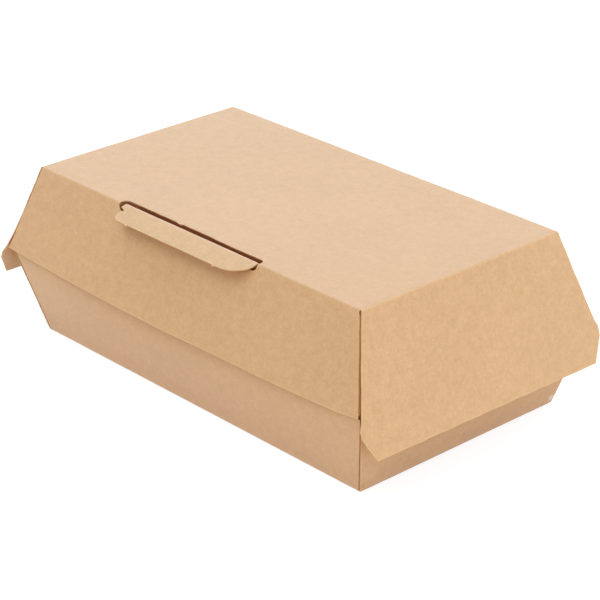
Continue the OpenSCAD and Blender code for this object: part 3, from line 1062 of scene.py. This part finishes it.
def outside_crevice(g, painted_shade, strength):
    """A strength that fades to nothing where shade is painted in a crevice."""
    return g.math("MULTIPLY_ADD", painted_shade, -strength, strength)


def painted_glow(g, shader):
    """A painted glow: a faint brown emission on the inner face in the shut box, which stands in for
    the light that comes through the board.
    """
    room = g.node("ShaderNodeAmbientOcclusion", {"samples": 4}, Distance=ENCLOSED)
    shader.inputs["Emission Color"].default_value = PAINTED_GLOW_COLOUR
    g.feed(shader.inputs["Emission Strength"], g.ramp(room.outputs["AO"], 0.35, 0.05))


def fibres(g, uv):
    """Light fibres in two directions and dark ones in a third, 0 to 1 each."""
    wind = g.node("ShaderNodeTexNoise", {"noise_dimensions": "3D"}, Vector=uv, Scale=9.0, Detail=1.0)
    shift = g.node("ShaderNodeVectorMath", {"operation": "SCALE"}, Vector=wind.outputs["Color"])
    shift.inputs["Scale"].default_value = FIBRE_WINDING
    place = g.node("ShaderNodeVectorMath", {"operation": "ADD"})
    g.feed(place.inputs[0], uv)
    g.feed(place.inputs[1], shift.outputs[0])
    a, b, c = (g.noise(g.stretched(place.outputs[0], *way), 1.0, 1.0) for way in FIBRES)
    light = g.math("MAXIMUM", g.ramp(a, 0.60, 0.78), g.ramp(b, 0.62, 0.80))
    return light, g.ramp(c, 0.62, 0.80)


def specks(g, uv):
    """A dark speck in some cells of a loose pattern, 0 to 1."""
    kind = {"voronoi_dimensions": "2D", "feature": "F1"}
    cells = g.node("ShaderNodeTexVoronoi", kind, Vector=uv, Scale=SPECK_SCALE)
    red = g.node("ShaderNodeSeparateColor", Color=cells.outputs["Color"]).outputs["Red"]
    chosen = g.math("GREATER_THAN", red, SPECK_RARITY)
    return g.math("MULTIPLY", g.ramp(cells.outputs["Distance"], 0.030, 0.012), chosen)


def worn_and_highlit_places(g, uv):
    """How near a cut edge and a crease are, 0 to 1, each with a ragged limit."""
    rim = g.node("ShaderNodeAttribute", {"attribute_name": "rim"}).outputs["Fac"]
    fold = g.node("ShaderNodeAttribute", {"attribute_name": "fold"}).outputs["Fac"]
    torn = g.noise(uv, 60.0, 3.0, 0.7)
    reach = g.math("MULTIPLY_ADD", torn, 0.9, 0.12)
    near_rim = g.ramp(g.math("DIVIDE", rim, reach), 1.0, 0.2)
    near_fold = g.math("MULTIPLY", g.ramp(fold, 1.1, 0.2), g.ramp(torn, 0.35, 0.75))
    return near_rim, near_fold


def board_material(name, colour, rim_wear_and_highlight, inside=False):
    """Brown board. The fuzz of fibres on its face adds a pale veil where it is seen at a flat angle.
    In a crevice shade is painted: the colour is tinted darker and redder, as light that has gone
    from board to board would make it, and the veil fades."""
    made = bpy.data.materials.new(name)
    g = graph_of(made)
    uv = g.node("ShaderNodeUVMap", {"uv_map": "sheet"}).outputs["UV"]
    layers = [g.noise(uv, *kind) for kind in MOTTLING]
    light_fibres, dark_fibres = fibres(g, uv)
    total = 0.0
    for layer, strength in zip(layers, MOTTLING_STRENGTH):
        total = g.math("MULTIPLY_ADD", g.math("SUBTRACT", layer, 0.5), strength, total)
    total = g.math("MULTIPLY_ADD", light_fibres, LIGHT_FIBRES, total)
    total = g.math("MULTIPLY_ADD", dark_fibres, DARK_FIBRES, total)
    spread = g.math("ADD", total, 0.5, clamp=True)
    paper = g.mix(spread, tone(colour, DARK_PULP), tone(colour, LIGHT_PULP))

    speck = g.math("MULTIPLY", specks(g, uv), SPECK_STRENGTH)
    paper = g.mix(speck, paper, tone(colour, SPECK))
    near_rim, near_fold = worn_and_highlit_places(g, uv)
    # Wear and painted highlight: the board is paler near a cut edge; near a crease it is paler from
    # wear
    paper = g.mix(g.math("MULTIPLY", near_rim, rim_wear_and_highlight), paper, tone(colour, PALE_WEAR_AND_HIGHLIGHT))
    paper = g.mix(g.math("MULTIPLY", near_fold, FOLD_LIGHT), paper, tone(colour, PALE_WEAR_AND_HIGHLIGHT))
    # Painted shade: in crevices and under overhangs the colour is multiplied by a dark red-brown
    # tint
    painted_shade = painted_shade_amount(g)
    paper = g.mix(painted_shade, paper, PAINTED_SHADE_TINT, "MULTIPLY")

    flocs, grain = layers[1], layers[3]
    height = g.math("MULTIPLY_ADD", grain, 0.8, g.math("MULTIPLY", light_fibres, 0.5))
    height = g.math("MULTIPLY_ADD", dark_fibres, -0.35, height)
    height = g.math("MULTIPLY_ADD", flocs, 0.9, height)
    bump = g.node("ShaderNodeBump", Height=height, Strength=0.35, Distance=0.00008)
    rough = g.ramp(grain, 0.3, 0.7, 0.66, 0.82)
    shader = g.node(
        "ShaderNodeBsdfPrincipled", Base_Color=paper, Roughness=rough, Normal=bump.outputs["Normal"]
    )
    # The gloss and the sheen fade where the shade is painted
    g.feed(shader.inputs["Specular IOR Level"], outside_crevice(g, painted_shade, GLOSS))
    g.feed(shader.inputs["Sheen Weight"], outside_crevice(g, painted_shade, FUZZ))
    # Painted glow on the inner face where it is shut in
    if inside:
        painted_glow(g, shader)
    g.node("ShaderNodeOutputMaterial", Surface=shader.outputs["BSDF"])
    return made


def cut_material(name, colour):
    """The cut edge of the board: paler, with the plies as fine lines."""
    made = bpy.data.materials.new(name)
    g = graph_of(made)
    place = g.node("ShaderNodeTexCoord").outputs["Object"]
    ply = g.noise(place, 2600.0, 2.0, 0.6)
    patch = g.noise(place, 420.0, 2.0, 0.5)
    both = g.math("MULTIPLY_ADD", patch, 0.6, g.math("MULTIPLY", ply, 0.4))
    paper = g.mix(both, tone(colour, DARK_PLY), tone(colour, LIGHT_PLY))
    # Painted shade: the cut edge is tinted dark red-brown in crevices, and its gloss fades there
    painted_shade = painted_shade_amount(g)
    paper = g.mix(painted_shade, paper, CUT_PAINTED_SHADE_TINT, "MULTIPLY")
    bump = g.node("ShaderNodeBump", Height=ply, Strength=0.5, Distance=0.0001)
    shader = g.node("ShaderNodeBsdfPrincipled", Base_Color=paper, Normal=bump.outputs["Normal"])
    shader.inputs["Roughness"].default_value = 0.9
    g.feed(shader.inputs["Specular IOR Level"], outside_crevice(g, painted_shade, CUT_GLOSS))
    g.node("ShaderNodeOutputMaterial", Surface=shader.outputs["BSDF"])
    return made


def dress(piece, prefix, outside=KRAFT):
    """The materials of the board's two faces and its cut edge, in the order of the face kinds."""
    kinds = (
        board_material(prefix + "_outside", outside, RIM_WEAR_AND_HIGHLIGHT),
        board_material(prefix + "_inside", KRAFT_INSIDE, RIM_WEAR_AND_HIGHLIGHT_INSIDE, inside=True),
        cut_material(prefix + "_cut", KRAFT_CUT),
    )
    for kind in kinds:
        piece.data.materials.append(kind)


# Stage

# The camera that fits the photo: its place in metres, and where its right, down and ahead point
CAMERA_AT = (0.65182, -0.5871, 0.44083)
CAMERA_RIGHT = (0.67453, 0.73822, -0.0065)
CAMERA_DOWN = (0.30894, -0.29026, -0.90571)
CAMERA_AHEAD = (-0.6705, 0.60892, -0.42385)
CAMERA_LENS = 137.829
CAMERA_SENSOR = 36.0
# Each sun's azimuth and elevation, its strength, its spread and its colour
SUNS = (
    ("sun_key", -90, 60, 1.15, 30),
    ("sun_right", -20, 40, 1.43, 60, (0.92, 1.0, 1.12)),
    ("sun_back", 80, 15, 2.55, 60),
    ("sun_over_back", 135, 70, 1.08, 60),
    ("sun_front", -60, 15, 0.93, 60),
)
WORLD_LIGHT = 0.15
FLOOR_HALF = 6.0
FLOOR_Z = -0.0003
# The floor as the box is lit by it, and as the camera sees it
FLOOR_BOUNCE = (0.86, 0.75, 0.60, 1)
FLOOR_SEEN = (0.30, 0.30, 0.30, 1)
FLOOR_GLOW = 0.78


def camera():
    data = bpy.data.cameras.new("camera")
    data.sensor_fit = "HORIZONTAL"
    data.sensor_width = CAMERA_SENSOR
    data.lens = CAMERA_LENS
    data.clip_start = 0.05
    data.clip_end = 20.0
    data.dof.use_dof = False
    made = in_scene("camera", data)
    right, down, ahead = (Vector(v) for v in (CAMERA_RIGHT, CAMERA_DOWN, CAMERA_AHEAD))
    turn = Matrix((right, -down, -ahead)).transposed().to_4x4()
    made.matrix_world = Matrix.Translation(CAMERA_AT) @ turn
    bpy.context.scene.camera = made


def sun(name, azimuth, elevation, strength, angle, colour=(1.0, 1.0, 1.0)):
    """Azimuth is where the light comes from, counted from +X towards +Y."""
    data = bpy.data.lights.new(name, "SUN")
    data.energy = strength
    data.color = colour
    data.angle = math.radians(angle)
    made = in_scene(name, data)
    a, e = math.radians(azimuth), math.radians(elevation)
    back = Vector((math.cos(a) * math.cos(e), math.sin(a) * math.cos(e), math.sin(e)))
    made.rotation_mode = "QUATERNION"
    made.rotation_quaternion = back.to_track_quat("Z", "Y")
    made.location = back * 2


def seen_directly(g):
    """1 for what the camera sees, also in a reflection, and 0 for the light on the box."""
    path = g.node("ShaderNodeLightPath")
    seen = g.math("MAXIMUM", path.outputs["Is Camera Ray"], path.outputs["Is Glossy Ray"])
    return g.math("MAXIMUM", seen, path.outputs["Is Transmission Ray"])


def world():
    made = bpy.data.worlds.new("studio")
    g = graph_of(made)
    level = g.ramp(seen_directly(g), 0.0, 1.0, WORLD_LIGHT, 1.0)
    shader = g.node("ShaderNodeBackground", Color=(1, 1, 1, 1), Strength=level)
    g.node("ShaderNodeOutputWorld", Surface=shader.outputs["Background"])
    bpy.context.scene.world = made


def floor():
    """A pale floor, white to the camera where nothing shades it."""
    mesh = bpy.data.meshes.new("floor")
    half, z = FLOOR_HALF, FLOOR_Z
    corners = [(-half, -half, z), (half, -half, z), (half, half, z), (-half, half, z)]
    mesh.from_pydata(corners, [], [(0, 1, 2, 3)])
    made = in_scene("floor", mesh)
    material = bpy.data.materials.new("floor_white")
    g = graph_of(material)
    plain = g.node("ShaderNodeBsdfDiffuse", Color=FLOOR_BOUNCE)
    dimmed = g.node("ShaderNodeBsdfDiffuse", Color=FLOOR_SEEN)
    glow = g.node("ShaderNodeEmission", Color=(1, 1, 1, 1), Strength=FLOOR_GLOW)
    both = g.node("ShaderNodeAddShader")
    g.feed(both.inputs[0], dimmed.outputs[0])
    g.feed(both.inputs[1], glow.outputs[0])
    mix = g.node("ShaderNodeMixShader")
    g.feed(mix.inputs[0], seen_directly(g))
    g.feed(mix.inputs[1], plain.outputs[0])
    g.feed(mix.inputs[2], both.outputs[0])
    g.node("ShaderNodeOutputMaterial", Surface=mix.outputs[0])
    mesh.materials.append(material)


tray_piece = build_tray()
lid_piece = build_lid()
hinge_piece = build_hinge()
# The tray's outside gets the colour with the painted warm bounce
dress(tray_piece, "tray", KRAFT_TRAY_PAINTED_BOUNCE)
dress(lid_piece, "lid")
dress(hinge_piece, "hinge")

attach(tray_piece, "tray")
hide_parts("tray", "lock_tab")
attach(lid_piece, "lid")
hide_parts("lid")
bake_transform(hinge_piece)

camera()
world()
floor()
for light in SUNS:
    sun(*light)
scene = bpy.context.scene
scene.view_settings.view_transform = "Standard"
